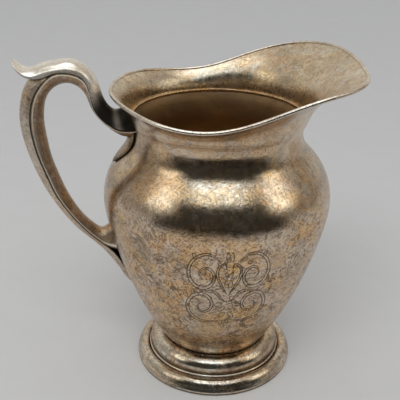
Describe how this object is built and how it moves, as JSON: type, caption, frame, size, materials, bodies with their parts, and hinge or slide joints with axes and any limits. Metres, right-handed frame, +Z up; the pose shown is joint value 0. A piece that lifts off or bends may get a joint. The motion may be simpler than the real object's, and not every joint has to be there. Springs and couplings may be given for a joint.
{
  "type": "water pitcher",
  "caption": "Footed silver-plated water pitcher with a full round belly, narrow neck, wide flared pouring lip and a hollow scroll handle with a curled thumb rest.",
  "frame": {"origin": "centre of the ring the foot stands on, at table height", "axes": "+Z up along the axis of the spun body, +X towards the pouring spout, handle on -X, +Y completes the right-handed frame and is normal to the plane of symmetry"},
  "size_m": [0.2152, 0.1502, 0.2182],
  "materials": {
    "silver_plate": "polished silver plate over brass, tarnished and speckled with warm stains",
    "silver_lip": "satin silver plate over brass, faint champagne tarnish",
    "silver_foot": "polished silver plate over brass, brown tarnish in the hollows",
    "silver_handle": "polished silver plate over brass, dark in the seams",
    "solder_edge": "bright worn silver edge with a little brass showing"
  },
  "bodies": {
    "root": {"body_shell": "silver_plate", "neck_ring": "solder_edge", "neck_spout": "silver_lip", "rim_wire": "solder_edge", "foot_dome": "silver_foot", "foot_bead": "solder_edge", "foot_base": "silver_foot", "foot_wire": "silver_foot", "thumb_rest": "silver_handle", "handle_outer": "silver_handle", "handle_inner": "silver_handle", "upper_leaf": "silver_handle"}
  },
  "joints": []
}
